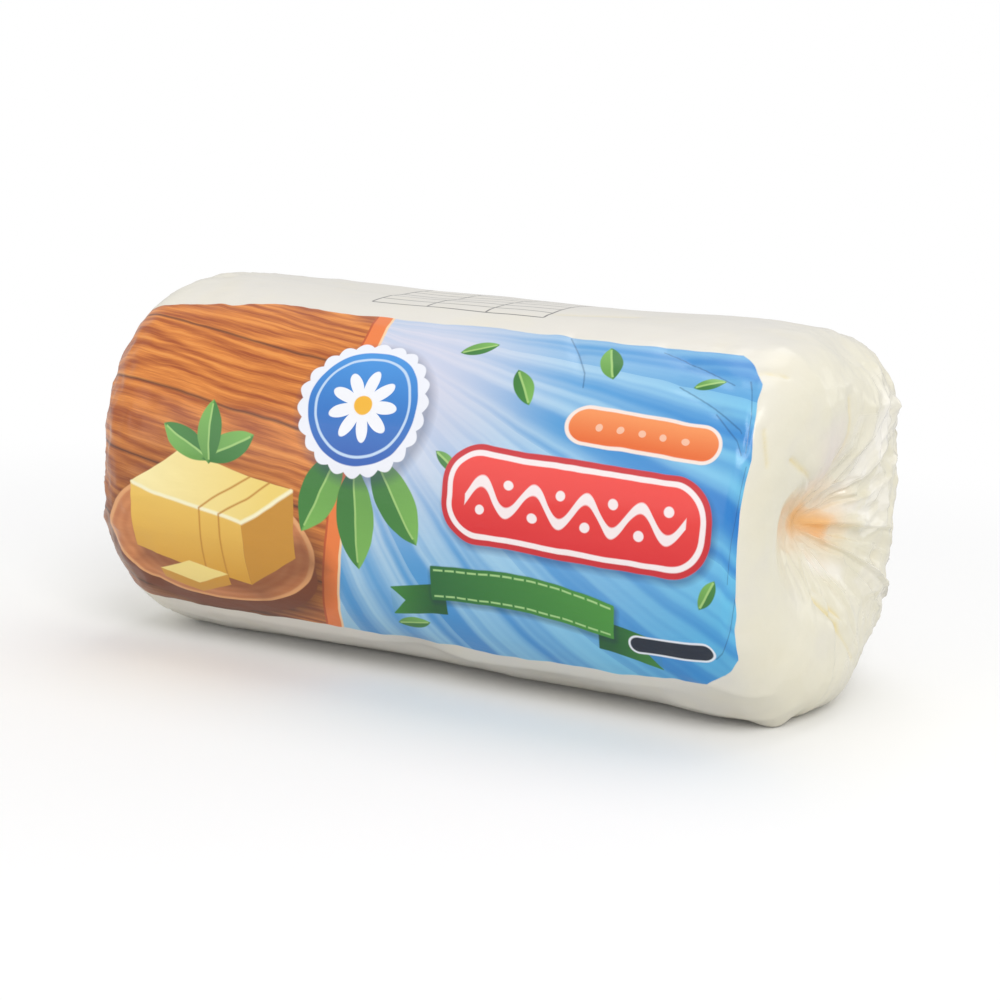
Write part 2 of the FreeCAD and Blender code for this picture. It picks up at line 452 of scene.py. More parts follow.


# Short lines across the end, in mm from its axis, that the marks spread from: butter seen through the film,
# lightened as painted fill light, and painted shade on the flap
BUTTER_GLOW = ((-11, 4), (2, 0))
BUTTER_CORE = ((-5, 1), (3, -1))
FAR_BUTTER = ((0, -3), (6, 2))
# The flap that slopes into the gather is given a greyish-pink painted shade
FLAP = ((-10, 8), (-13, 17))
# Start and end of each glint, a painted highlight streak, and its width
GLINTS = [
    ((1, 6), (6, 9), 3.0), ((-2, 1), (10, 3), 1.6), ((-5, -8), (4, -11), 2.0), ((9, 14), (16, 22), 5.0)]

ragged = 1 + 0.35 * noise_at(in_mm, 4.0, 2.5)


def patch(ends, inner, outer):
    """Return 1 within inner mm of a line across the end, 0 beyond outer mm, with a ragged edge."""
    return 1 - ease(inner, outer, line_distance(across_face, *ends) * ragged)


# Butter seen through the film in the dimple; its inks are lightened as painted fill light against the dimple's
# shade
butter_fill_patch = np.maximum(0.5 * patch(BUTTER_GLOW, 2, 11), patch(BUTTER_CORE, 0, 7.5))
add_mark("butter_and_painted_fill", front_share * butter_fill_patch + far_share * patch(FAR_BUTTER, 0, 9))
# Painted shade on the flap above the gather
add_mark("painted_flap_shade", front_share * patch(FLAP, 0, 11))
# Painted highlights: some facets of the crumpled gather are made paler, as if they caught the light, and the
# glints add pale streaks
painted_highlights = gather_zone * rough * (0.6 * ease(0.0, 0.8, tones) + 0.4 * ease(0.0, 0.8, small_tones))
for start, end, width in GLINTS:
    glint = np.exp(-(line_distance(across_face, start, end) / width) ** 2)
    painted_highlights = painted_highlights + front_share * glint
add_mark("painted_highlights", painted_highlights)
crumpled = np.maximum(gather_zone, shoulder_zone) * rough
in_crease = ease(0.2 * MM, 0.9 * MM, -face_creases - side_creases)
add_mark("pressed", in_crease + 0.4 * crumpled * ease(0.3, 0.8, -facets))
print("marks", [mark.name for mark in wrapper.data.attributes if mark.data_type == "FLOAT"])

# %% [markdown]
# ## Kinds of printing
#
# Each face of the sheet is given one of a few finishes by its place: bare film, film with a ruled table, and
# the picture in three parts. All of them are the same film. Splitting it keeps each finish small, because
# every one holds only the shapes that fall on its own faces.

# %% Sort the faces
PRINT_LOW = (-99, -38)
PRINT_HIGH = (80, 50)
TABLE_LOW = (-30, 53)
TABLE_HIGH = (22, 100)
PARTS = {"bare_film": None, "table_film": None, "left_print": (-100, -33), "middle_print": (-33, 6),
         "right_print": (6, 100)}
face_corners = on_film[corner_point].reshape(-1, 4, 2)
face_centre = face_corners.mean(axis=1)
finish = np.zeros(len(face_centre), dtype=np.int32)
on_table = np.all((face_centre > TABLE_LOW) & (face_centre < TABLE_HIGH), axis=1)
on_print = np.all((face_centre > PRINT_LOW) & (face_centre < PRINT_HIGH), axis=1)
finish[on_table] = 1
for number, (name, stretch) in enumerate(PARTS.items()):
    if stretch:
        here = on_print & (face_centre[:, 0] >= stretch[0]) & (face_centre[:, 0] < stretch[1])
        finish[here] = number
wrapper.data.polygons.foreach_set("material_index", finish)
print("faces of each finish", dict(zip(PARTS, np.bincount(finish).tolist())))

# %% Close the sheet
bpy.ops.object.mode_set(mode="EDIT")
bpy.ops.mesh.select_all(action="SELECT")
bpy.ops.mesh.remove_doubles(threshold=0.0005 * MM)
bpy.ops.mesh.normals_make_consistent(inside=False)
bpy.ops.object.mode_set(mode="OBJECT")
bpy.ops.object.shade_smooth()
print("wrapper faces", len(wrapper.data.polygons))

# %% [markdown]
# ## Inks
#
# The print is drawn in the material, not with a picture. A Plate lays flat shapes over one another, as a
# printing press lays its inks. Shapes are distances in millimetres on the flat film: negative inside,
# positive outside. A mask turns a distance into an edge, and an ink goes on through the mask.

# %% The plate
def ink(red, green, blue):
    """Return a colour written in the usual 0 to 255 as the linear colour that shaders use."""
    shares = [value / 255 for value in (red, green, blue)]
    linear = [share / 12.92 if share < 0.04045 else ((share + 0.055) / 1.055) ** 2.4 for share in shares]
    return (*linear, 1.0)


class Plate:
    """Draws flat shapes in a node tree and lays inks over one another."""

    def __init__(self, tree):
        self.tree = tree

    def node(self, kind, inputs, out=0, **settings):
        """Add a node, set its inputs by number with values or links, and return one output."""
        item = self.tree.nodes.new(kind)
        for name, value in settings.items():
            setattr(item, name, value)
        for number, value in inputs.items():
            if isinstance(value, bpy.types.NodeSocket):
                self.tree.links.new(value, item.inputs[number])
            else:
                item.inputs[number].default_value = value
        return item.outputs[out]

    def mark(self, name):
        """Return one of the sheet's marks."""
        return self.node("ShaderNodeAttribute", {}, 2, attribute_name=name)

    def sum(self, operation, first, second=0.0, third=0.0):
        """Return a sum on numbers, named as the Math node names it."""
        return self.node("ShaderNodeMath", {0: first, 1: second, 2: third}, operation=operation)

    def vector(self, operation, first, second=(0, 0, 0)):
        """Return a sum on places, named as the Vector Math node names it."""
        out = 1 if operation in ("LENGTH", "DOT_PRODUCT") else 0
        return self.node("ShaderNodeVectorMath", {0: first, 1: second}, out, operation=operation)

    def split(self, vector):
        """Return a place's x and y."""
        item = self.tree.nodes.new("ShaderNodeSeparateXYZ")
        self.tree.links.new(vector, item.inputs[0])
        return item.outputs[0], item.outputs[1]

    def join(self, x, y):
        """Return the place at x and y."""
        return self.node("ShaderNodeCombineXYZ", {0: x, 1: y})

    def merge(self, operation, distances):
        """Return one distance for several shapes: MINIMUM joins them, MAXIMUM keeps where they overlap."""
        merged = distances[0]
        for distance in distances[1:]:
            merged = self.sum(operation, merged, distance)
        return merged

    def at(self, place, centre, turn=0.0, size=(1, 1)):
        """Return places measured from a centre, turned and sized with a shape."""
        where = {0: place, 1: (*centre, 0), 2: (0, 0, radians(turn)), 3: (*size, 1)}
        return self.node("ShaderNodeMapping", where, vector_type="TEXTURE")

    def circle(self, place, radius):
        """Return the distance to a circle round nought."""
        return self.sum("SUBTRACT", self.vector("LENGTH", place), radius)

    def bar(self, place, half_width, half_height, corner):
        """Return the distance to a bar with rounded corners round nought."""
        reach = self.vector("ABSOLUTE", place)
        reach = self.vector("SUBTRACT", reach, (half_width - corner, half_height - corner, 0))
        reach = self.vector("MAXIMUM", reach, (0, 0, 0))
        return self.circle(reach, corner)

    def leaf(self, place, half_length, half_width):
        """Return the distance to a leaf with two pointed ends: where two large circles overlap."""
        radius = (half_length ** 2 + half_width ** 2) / (2 * half_width)
        reach = self.vector("ABSOLUTE", place)
        return self.circle(self.vector("ADD", reach, (0, radius - half_width, 0)), radius)

    def polygon(self, place, corners):
        """Return the distance to a convex shape whose corners run anticlockwise."""
        sides = []
        for (ax, ay), (bx, by) in zip(corners, corners[1:] + corners[:1]):
            length = hypot(bx - ax, by - ay)
            normal = ((by - ay) / length, (ax - bx) / length)
            along_normal = self.vector("DOT_PRODUCT", place, (*normal, 0))
            sides.append(self.sum("SUBTRACT", along_normal, ax * normal[0] + ay * normal[1]))
        return self.merge("MAXIMUM", sides)

    def line(self, place, points):
        """Return the distance to a line through points."""
        pieces = []
        for (ax, ay), (bx, by) in zip(points, points[1:]):
            middle = ((ax + bx) / 2, (ay + by) / 2)
            local = self.at(place, middle, degrees(atan2(by - ay, bx - ax)))
            pieces.append(self.bar(local, hypot(bx - ax, by - ay) / 2, 0, 0))
        return self.merge("MINIMUM", pieces)

    def ramp(self, value, start, end, low=0.0, high=1.0, smooth=False):
        """Return low where a value is start, high where it is end, and a ramp between."""
        kind = "SMOOTHSTEP" if smooth else "LINEAR"
        where = {0: value, 1: start, 2: end, 3: low, 4: high}
        return self.node("ShaderNodeMapRange", where, interpolation_type=kind)

    def mask(self, distance, grow=0.0, soft=0.25, strength=1.0):
        """Return strength inside a shape and 0 outside. Its edge is moved out by grow, and is soft wide."""
        return self.ramp(distance, grow - soft / 2, grow + soft / 2, strength, 0.0)

    def over(self, under, colour, mask):
        """Lay a colour over another through a mask."""
        return self.node("ShaderNodeMix", {0: mask, 6: under, 7: colour}, 2, data_type="RGBA")

    def lay(self, under, colour, distance, grow=0.0, soft=0.25, strength=1.0):
        """Lay a colour over another inside a shape."""
        return self.over(under, colour, self.mask(distance, grow, soft, strength))

    def noise(self, place, size, detail=2.0, roughness=0.5, stretch=(1, 1, 1)):
        """Return smooth noise from 0 to 1 with lumps about size across."""
        scaled = self.vector("MULTIPLY", place, tuple(way / size for way in stretch))
        return self.node("ShaderNodeTexNoise", {0: scaled, 2: 1.0, 3: detail, 4: roughness})


# %% [markdown]
# ## The printed picture
#
# The front shows a generic butter picture: planks on the left with a block of butter on a round board, an
# orange band, and a bright field of rays with leaves, a round flower seal, a red plaque, a small orange
# plaque and a green ribbon. None of it carries words.

# %% The fields of colour
# A pair of inks is blended from the first to the second
RAY_SOURCE = (-30, 46)
DEEP_RAY = (ink(112, 186, 228), ink(20, 122, 204))
PALE_RAY = (ink(214, 222, 236), ink(104, 196, 236))
GLOW_CENTRE = (-6, 30)
GLOW_INK = ink(218, 216, 232)
PLANK_WIDTH = 17.0
PLANK_TURN = -9
WOOD = (ink(168, 82, 32), ink(232, 142, 62))
PALE_WOOD = ink(242, 168, 88)
PLANK_JOINT = ink(84, 42, 26)
SHADE_CENTRE = (-58, -22)
SHADE_INK = ink(70, 34, 22)


def ray_field(plate, place, colour):
    """Hide a colour under the blue field: soft-edged rays that fan from behind the orange band."""
    local = plate.at(place, RAY_SOURCE)
    x, y = plate.split(local)
    turn = plate.sum("ARCTAN2", y, x)
    far = plate.ramp(plate.vector("LENGTH", local), 12, 120)
    broad = plate.noise(plate.join(turn, 0.0), 0.20, 1.0)
    narrow = plate.noise(plate.join(turn, 2.0), 0.055, 2.0, 0.6)
    wide = plate.sum("FRACT", plate.sum("MULTIPLY_ADD", turn, 3.1, 0.35))
    light = plate.sum("MULTIPLY_ADD", narrow, 0.9, plate.sum("MULTIPLY", broad, 0.6))
    light = plate.sum("MULTIPLY_ADD", wide, 0.12, light)
    light = plate.ramp(light, 0.58, 1.02, smooth=True)
    rays = plate.over(plate.over(*DEEP_RAY, far), plate.over(*PALE_RAY, far), light)
    from_glow = plate.vector("LENGTH", plate.at(place, GLOW_CENTRE))
    return plate.over(rays, GLOW_INK, plate.ramp(from_glow, 4, 46, 0.85, 0.0, smooth=True))


def plank_field(plate, place):
    """Return the brown field: planks with drawn-out grain, dark joints and a shade round the board."""
    x, y = plate.split(plate.at(place, (-60, 20), PLANK_TURN))
    plank = plate.sum("FLOOR", plate.sum("DIVIDE", y, PLANK_WIDTH))
    slid = plate.join(plate.sum("MULTIPLY_ADD", plank, 43.0, x), y)
    bend = plate.noise(slid, 13, 1.0, 0.5, (0.18, 1, 1))
    rings = plate.sum("SINE", plate.sum("MULTIPLY_ADD", bend, 40.0, plate.sum("MULTIPLY", y, 1.6)))
    streaks = plate.noise(slid, 1.1, 4.0, 0.70, (0.04, 1, 1))
    tone = plate.sum("MULTIPLY_ADD", rings, 0.12, streaks)
    wood = plate.over(*WOOD, plate.ramp(tone, 0.30, 0.66))
    wood = plate.over(wood, PALE_WOOD, plate.ramp(tone, 0.60, 0.85, 0, 0.7))
    edge = plate.sum("PINGPONG", y, PLANK_WIDTH / 2)
    wood = plate.over(wood, PLANK_JOINT, plate.ramp(edge, 0.0, 0.55, 0.85, 0.0))
    from_board = plate.vector("LENGTH", plate.at(place, SHADE_CENTRE, 0, (1.25, 1)))
    return plate.over(wood, SHADE_INK, plate.ramp(from_board, 14, 44, 0.55, 0.0, smooth=True))


# %% The orange band
BAND_CENTRE = (-222, 20)
BAND_RADIUS = 204
BAND_LINE = ink(252, 214, 170)
BAND_INK = ink(240, 128, 62)
BAND_SHADE = ink(196, 88, 40)


def wooden_side(plate, place, colour):
    """Lay the orange band, and inside it the planks, over a colour."""
    bound = plate.circle(plate.at(place, BAND_CENTRE), BAND_RADIUS)
    colour = plate.lay(colour, BAND_LINE, bound, 4.6)
    colour = plate.lay(colour, BAND_INK, bound, 4.0)
    colour = plate.lay(colour, BAND_SHADE, bound, 0.5)
    return plate.lay(colour, plank_field(plate, place), bound)


# %% The butter on its board
BOARD_AT = (-52, -14)
BOARD_HALF_SIZE = (29, 16.5)
BOARD_TOP = (ink(184, 106, 60), ink(224, 152, 98))
BOARD_RIM = ink(232, 168, 112)
UNDERSIDE_AT = (-52, -18.5)
UNDERSIDE_HALF_SIZE = (29, 16)
UNDERSIDE_INK = ink(118, 60, 32)
BOARD_SHADOW = ink(46, 22, 14)
ABOUT_MM = 20                 # turns a share of the board's size into roughly millimetres

BLOCK_BASE = ((-73, -18), (-42, -24), (-28, -15))      # its left, near and right lower corners
BLOCK_HEIGHT = 16
BLOCK_FRONT = (ink(222, 164, 58), ink(242, 200, 96))
BLOCK_SIDE = ink(206, 146, 50)
BLOCK_LID = (ink(255, 240, 176), ink(246, 216, 118))
BLOCK_SHADOW = ink(112, 56, 28)
SHADOW_CORNERS = [(-72, -21), (-40, -27), (-22, -16), (-26, -11), (-70, -14)]
LIT_EDGE = [(-72.4, -2.1), (-42, -8), (-28.5, 0.7)]
LIT_EDGE_INK = ink(255, 248, 208)
CUTS = (6, 11.5)              # how far each cut lies from the near corner
CUT_INK = ink(196, 134, 44)

PAT_SIDE_CORNERS = [(-67, -26), (-57, -29), (-48, -25), (-48, -22), (-67, -23)]
PAT_TOP_CORNERS = [(-67, -23), (-57, -26), (-48, -22), (-58, -19.5)]
PAT_SIDE = ink(214, 156, 60)
PAT_TOP = ink(252, 228, 142)


def round_board(plate, place, colour):
    """Lay the round board, with its thick edge and its shadow, over a colour."""
    board = plate.at(place, BOARD_AT, 0, BOARD_HALF_SIZE)
    board_edge = plate.sum("MULTIPLY", plate.circle(board, 1.0), ABOUT_MM)
    under = plate.at(place, UNDERSIDE_AT, 0, UNDERSIDE_HALF_SIZE)
    under_edge = plate.sum("MULTIPLY", plate.circle(under, 1.0), ABOUT_MM)
    colour = plate.lay(colour, BOARD_SHADOW, under_edge, 1.5, 7, 0.75)
    colour = plate.lay(colour, UNDERSIDE_INK, under_edge)
    rings = plate.sum("SINE", plate.sum("MULTIPLY", plate.vector("LENGTH", board), 60.0))
    grain = plate.noise(place, 3.0, 3.0, 0.6, (0.15, 1, 1))
    top = plate.over(*BOARD_TOP, plate.sum("MULTIPLY_ADD", rings, 0.12, grain))
    colour = plate.lay(colour, BOARD_RIM, board_edge)
    return plate.lay(colour, top, board_edge, -0.9, 0.4)


def butter_block(plate, place, colour):
    """Lay the block of butter, with its shadow and two cuts through it, over a colour."""
    x, y = plate.split(place)
    left, near, right = (Vector(corner) for corner in BLOCK_BASE)
    up = Vector((0, BLOCK_HEIGHT))
    far = left + right - near
    shadow = plate.polygon(place, SHADOW_CORNERS)
    front = plate.polygon(place, [left, near, near + up, left + up])
    side = plate.polygon(place, [near, right, right + up, near + up])
    lid = plate.polygon(place, [left + up, near + up, right + up, far + up])
    colour = plate.lay(colour, BLOCK_SHADOW, shadow, 1.0, 4, 0.6)
    colour = plate.lay(colour, plate.over(*BLOCK_FRONT, plate.ramp(y, -22, -3)), front)
    colour = plate.lay(colour, BLOCK_SIDE, side)
    colour = plate.lay(colour, plate.over(*BLOCK_LID, plate.ramp(x, -70, -34)), lid)
    colour = plate.lay(colour, LIT_EDGE_INK, plate.line(place, LIT_EDGE), 0.45, 0.5)
    for shift in CUTS:
        slide = (left - near) * shift / (near.x - left.x)
        cut = plate.line(place, [near + slide, near + up + slide, right + up + slide])
        colour = plate.lay(colour, CUT_INK, cut, 0.2, 0.4)
    return colour


def butter_pat(plate, place, colour):
    """Lay the cut pat, in front of the block, over a colour."""
    colour = plate.lay(colour, PAT_SIDE, plate.polygon(place, PAT_SIDE_CORNERS))
    return plate.lay(colour, PAT_TOP, plate.polygon(place, PAT_TOP_CORNERS))


# %% The leaves
LEAF_HALVES = (ink(66, 134, 58), ink(126, 186, 88))
LEAF_FOOT = ink(40, 100, 44)
LEAF_RIB = ink(168, 210, 124)


def printed_leaf(plate, place, colour, centre, turn, half_length, half_width):
    """Lay one green leaf with a darker half and a pale rib over a colour."""
    local = plate.at(place, centre, turn)
    shape = plate.leaf(local, half_length, half_width)
    x, y = plate.split(local)
    green = plate.over(*LEAF_HALVES, plate.ramp(y, -0.3, 0.3))
    green = plate.over(green, LEAF_FOOT, plate.ramp(x, -half_length, half_length, 0.45, 0.0))
    colour = plate.lay(colour, green, shape)
    rib = plate.bar(local, half_length * 0.85, 0.12, 0)
    return plate.lay(colour, LEAF_RIB, rib, 0.1, 0.25)


# %% The seal
SCALLOPS = 22
PETALS = 9
SEAL_SHADOW = ink(30, 50, 90)
SEAL_RIM = ink(240, 242, 250)
SEAL_DISC = (ink(28, 92, 182), ink(74, 152, 226))
SEAL_RING = ink(196, 220, 246)
PETAL_INK = ink(246, 247, 252)
FLOWER_HEART = ink(246, 186, 58)


def flower_seal(plate, place, colour, centre):
    """Lay a scalloped white seal with a blue disc and a daisy over a colour."""
    shadow = plate.circle(plate.at(place, (centre[0] + 0.8, centre[1] - 1.2)), 16)
    colour = plate.lay(colour, SEAL_SHADOW, shadow, 0.8, 2.5, 0.45)
    local = plate.at(place, centre)
    x, y = plate.split(local)
    turn = plate.sum("ARCTAN2", y, x)
    scallop = plate.sum("ABSOLUTE", plate.sum("SINE", plate.sum("MULTIPLY", turn, SCALLOPS / 2)))
    rim = plate.sum("MULTIPLY_ADD", scallop, -1.1, plate.circle(local, 15.2))
    colour = plate.lay(colour, SEAL_RIM, rim)
    blue = plate.over(*SEAL_DISC, plate.ramp(y, -12, 12))
    colour = plate.lay(colour, blue, plate.circle(local, 13.6))
    ring = plate.sum("ABSOLUTE", plate.circle(local, 11.7))
    colour = plate.lay(colour, SEAL_RING, ring, 0.3)
    petal = plate.sum("ABSOLUTE", plate.sum("COSINE", plate.sum("MULTIPLY", turn, PETALS / 2)))
    flower = plate.sum("MULTIPLY_ADD", petal, -4.6, plate.circle(local, 4.0))
    colour = plate.lay(colour, PETAL_INK, flower)
    return plate.lay(colour, FLOWER_HEART, plate.circle(local, 2.3))


# %% The plaques
# Each shape is half its width, half its height and its corner radius
PLAQUE_TURN = -2
RED_PLAQUE = (29, 9.2, 7.5)
RED_INK = (ink(222, 34, 40), ink(244, 66, 58))
RED_EDGE = ink(206, 34, 44)
RED_LINE = ink(250, 238, 238)
RED_SHADOW = ink(28, 62, 120)
ORNAMENT_INK = ink(250, 236, 236)
WAVE_RATE = 0.52              # radians of the wave for each millimetre
HALF_WAVE = 6.04
ORANGE_PLAQUE = (16.5, 3.7, 3.7)
ORANGE_INK = (ink(236, 112, 52), ink(248, 152, 92))
ORANGE_LINE = ink(250, 232, 222)
ORANGE_DOTS = ink(255, 236, 214)
PILL = (9.0, 1.9, 1.9)
PILL_INK = ink(24, 34, 52)
PILL_LINE = ink(236, 240, 248)


def red_plaque(plate, place, colour, centre):
    """Lay the large red plaque, with its white line and a wave ornament, over a colour."""
    local = plate.at(place, centre, PLAQUE_TURN)
    x, y = plate.split(local)
    shape = plate.bar(local, *RED_PLAQUE)
    low = plate.bar(plate.at(place, (centre[0] + 0.6, centre[1] - 1.0), PLAQUE_TURN), *RED_PLAQUE)
    colour = plate.lay(colour, RED_SHADOW, low, 1.9, 1.6, 0.55)
    colour = plate.lay(colour, RED_EDGE, shape, 1.6)
    colour = plate.lay(colour, RED_LINE, shape, 0.3)
    colour = plate.lay(colour, plate.over(*RED_INK, plate.ramp(y, -8, 8)), shape, -0.9)
    wave = plate.sum("MULTIPLY", plate.sum("SINE", plate.sum("MULTIPLY", x, WAVE_RATE)), -3.1)
    thread = plate.sum("MULTIPLY", plate.sum("ABSOLUTE", plate.sum("ADD", y, wave)), 0.62)
    ends = plate.bar(local, 24.2, 8, 1)
    colour = plate.lay(colour, ORNAMENT_INK, plate.sum("MAXIMUM", thread, ends), 0.75)
    cell = plate.join(plate.sum("PINGPONG", plate.sum("ADD", x, HALF_WAVE / 2), HALF_WAVE), y)
    spots = [plate.circle(plate.at(cell, spot), 1.1) for spot in ((0, 3.0), (HALF_WAVE, -3.0))]
    dots = plate.sum("MAXIMUM", plate.merge("MINIMUM", spots), ends)
    return plate.lay(colour, ORNAMENT_INK, dots)


def orange_plaque(plate, place, colour, centre):
    """Lay the small orange plaque with its pale line and a row of dots over a colour."""
    local = plate.at(place, centre, PLAQUE_TURN)
    x, y = plate.split(local)
    shape = plate.bar(local, *ORANGE_PLAQUE)
    colour = plate.lay(colour, ORANGE_LINE, shape, 0.8)
    colour = plate.lay(colour, plate.over(*ORANGE_INK, plate.ramp(y, -3, 3)), shape)
    cell = plate.join(plate.sum("PINGPONG", x, 2.4), y)
    dots = plate.sum("MAXIMUM", plate.circle(cell, 0.75), plate.bar(local, 12.6, 3, 0))
    return plate.lay(colour, ORANGE_DOTS, dots)


def dark_pill(plate, place, colour, centre):
    """Lay a small dark bar with rounded ends and a pale line over a colour."""
    pill = plate.bar(plate.at(place, centre), *PILL)
    colour = plate.lay(colour, PILL_LINE, pill, 0.5)
    return plate.lay(colour, PILL_INK, pill)


# %% The ribbon
RIBBON_TURN = -3
RIBBON_BOW = 0.0045
TAIL_INK = (ink(28, 92, 44), ink(58, 134, 52))
RIBBON_INK = (ink(34, 106, 50), ink(74, 150, 58))
RIBBON_SHADOW = ink(18, 58, 60)
STITCH_INK = ink(170, 214, 140)


def green_ribbon(plate, place, colour, centre):
    """Lay a gently bowed green ribbon with two cut tails over a colour."""
    x, y = plate.split(plate.at(place, centre, RIBBON_TURN))
    across = plate.sum("MULTIPLY_ADD", plate.sum("MULTIPLY", x, x), RIBBON_BOW, y)
    bowed = plate.join(x, across)
    for side in (-1, 1):
        tail = plate.bar(plate.at(bowed, (side * 25, -4.2)), 7, 3.9, 0.2)
        notch = plate.bar(plate.at(bowed, (side * 32.5, -4.2), 45), 2.9, 2.9, 0.1)
        shape = plate.sum("MAXIMUM", tail, plate.sum("MULTIPLY", notch, -1))
        from_band = plate.ramp(plate.sum("MULTIPLY", x, side), 21, 31)
        colour = plate.lay(colour, plate.over(*TAIL_INK, from_band), shape)
    low = plate.bar(plate.vector("ADD", bowed, (-0.3, 0.7, 0)), 21.5, 4.3, 0.6)
    colour = plate.lay(colour, RIBBON_SHADOW, low, 0.5, 1.2, 0.5)
    band = plate.bar(bowed, 21.5, 4.3, 0.3)
    colour = plate.lay(colour, plate.over(*RIBBON_INK, plate.ramp(x, -22, 22)), band)
    stitch = plate.sum("ABSOLUTE", plate.sum("SUBTRACT", plate.sum("ABSOLUTE", across), 3.3))
    dash = plate.sum("SUBTRACT", plate.sum("PINGPONG", x, 1.4), 0.9)
    seam = plate.merge("MAXIMUM", [stitch, dash, plate.bar(bowed, 20.5, 4, 0)])
    return plate.lay(colour, STITCH_INK, seam, 0.22)


# %% The whole picture
# Centre, turn in degrees, half length and half width of each leaf
SPRIG = [((-57, 9), 152, 7.5, 3.2), ((-46, 9), 28, 7.5, 3.2), ((-51, 12), 92, 7.5, 3.2)]
SMALL_LEAVES = [
    ((10, 40), 24, 4.4, 1.8), ((24, 31), -58, 5.0, 2.2), ((41, 40), 112, 5.4, 2.5),
    ((64, 37), 20, 3.6, 1.5), ((10, 12), -35, 3.4, 1.4), ((70, -9), 66, 3.8, 1.6), ((0, -28), 12, 4.6, 1.9)]
BIG_LEAVES = [((-2, 2), -58, 11, 4.6), ((-21, 2), -116, 11, 4.6), ((-12, -3), -88, 12, 4.8)]

# Each layer of the picture, what it is given, and the stretch of film that it falls on, from the bottom up
LAYERS = [
    (ray_field, (), (-30, 80)), (wooden_side, (), (-100, -12)), (round_board, (), (-84, -20)),
    (butter_block, (), (-76, -18)), (butter_pat, (), (-68, -47))]
for leaf in SPRIG + SMALL_LEAVES + BIG_LEAVES:
    LAYERS.append((printed_leaf, leaf, (leaf[0][0] - leaf[2], leaf[0][0] + leaf[2])))
LAYERS += [
    (flower_seal, ((-13, 22),), (-32, 5)), (orange_plaque, ((53, 23),), (34, 72)),
    (red_plaque, ((40, 5),), (8, 72)), (green_ribbon, ((28, -15),), (-6, 62)),
    (dark_pill, ((62, -23),), (51, 73))]
UNDERCOAT = ink(120, 180, 226)


def picture(plate, place, stretch):
    """Return the colour of the part of the picture that falls on one stretch of film."""
    margin = 3
    colour = UNDERCOAT
    for draw, given, (start, end) in LAYERS:
        if start < stretch[1] + margin and end > stretch[0] - margin:
            colour = draw(plate, place, colour, *given)
    return colour


print("the picture has", len(LAYERS), "layers")

# %% [markdown]
# ## The film's own finish
#
# The bare film is thin, slightly milky and soft-glossed, and the butter warms it from behind. It is a touch
# yellower where it is pressed hard into a crease. Painted highlights make some facets of the gather and a few
# glints whiter, and painted shade greys the flap above the gather. In the gather the butter itself shows
# through, lightened as painted fill light in the dimple. The print lies on the same film, so every wrinkle
# runs through both.

# %% The bare film
FILM_TONES = (ink(231, 227, 218), ink(237, 232, 211))      # halfway along the roll and at its ends
WARM_CLOUD = ink(238, 230, 204)
COOL_CLOUD = ink(226, 222, 216)
# Name, ink and strength of the marks that tint the film: yellower creases, painted highlights and painted
# shade
TINTS = [
    ("pressed", ink(240, 222, 160), 0.8), ("painted_highlights", ink(252, 248, 238), 0.8),
    ("painted_flap_shade", ink(236, 222, 218), 0.65)]
# Butter seen through the film, both inks lightened as painted fill light against the dimple's shade
THIN_BUTTER_PAINTED_FILL = ink(248, 222, 190)
THICK_BUTTER_PAINTED_FILL = ink(252, 190, 112)


def bare_film(plate, film, solid):
    """Return the colour of film with nothing printed on it."""
    reach = plate.sum("ABSOLUTE", plate.split(film)[0])
    cloud = plate.noise(solid, 12, 2.0)
    butter = plate.mark("butter_and_painted_fill")
    colour = plate.over(*FILM_TONES, plate.ramp(reach, 64, 92, smooth=True))
    colour = plate.over(colour, WARM_CLOUD, plate.ramp(cloud, 0.50, 0.80, 0, 0.35))
    colour = plate.over(colour, COOL_CLOUD, plate.ramp(cloud, 0.46, 0.20, 0, 0.4))
    for name, tint, strength in TINTS:
        colour = plate.over(colour, tint, plate.sum("MULTIPLY", plate.mark(name), strength))
    # Butter through the film, with painted fill light
    colour = plate.over(colour, THIN_BUTTER_PAINTED_FILL, plate.ramp(butter, 0.0, 0.6, 0, 0.85))
    return plate.over(colour, THICK_BUTTER_PAINTED_FILL, plate.ramp(butter, 0.50, 1.0, 0, 0.85))


# %% What is printed on the film
TABLE_CENTRE = (-4, 76)
TABLE_BAR = (22, 20, 0.5)     # half its width, half its height and its corner radius
TABLE_ROW = 5.0
TABLE_COLUMN = 7.5            # how far its upright lines stand from its middle
TABLE_INK = ink(44, 44, 50)
PRINT_OUTLINE = [
    (-96, -34), (-10, -36), (69, -31.5), (78.5, -24), (82.5, 0),
    (80.5, 20), (75, 38.8), (68, 46.9), (-40, 48.2), (-96, 41.5)]
# Painted shade: thin dark lines along the creases that cross the print
CREASE_SHADE_LINES = [crease for *crease, stand, width in PRINT_CREASES] + [
    [(28.8, 47), (32.8, 41.7), (36.2, 36.2), (37.2, 32.3)], [(50.8, 45.8), (57.8, 43.1), (69, 37.6)],
    [(79, 19), (79, 9), (77.5, 3), (76.5, -6)]]
# The colour of the painted shade in the creases
CREASE_SHADE = ink(16, 62, 110)


def ruled_table(plate, place, colour):
    """Lay the thin black lines of an empty table over a colour."""
    local = plate.at(place, TABLE_CENTRE)
    x, y = plate.split(local)
    outline = plate.bar(local, *TABLE_BAR)
    rows = plate.sum("PINGPONG", plate.sum("ADD", y, TABLE_BAR[1]), TABLE_ROW / 2)
    columns = plate.sum("ABSOLUTE", plate.sum("SUBTRACT", plate.sum("ABSOLUTE", x), TABLE_COLUMN))
    lines = plate.sum("MAXIMUM", plate.sum("MINIMUM", rows, columns), outline)
    lines = plate.sum("MINIMUM", lines, plate.sum("ABSOLUTE", outline))
    return plate.lay(colour, TABLE_INK, lines, 0.22, 0.3, 0.95)


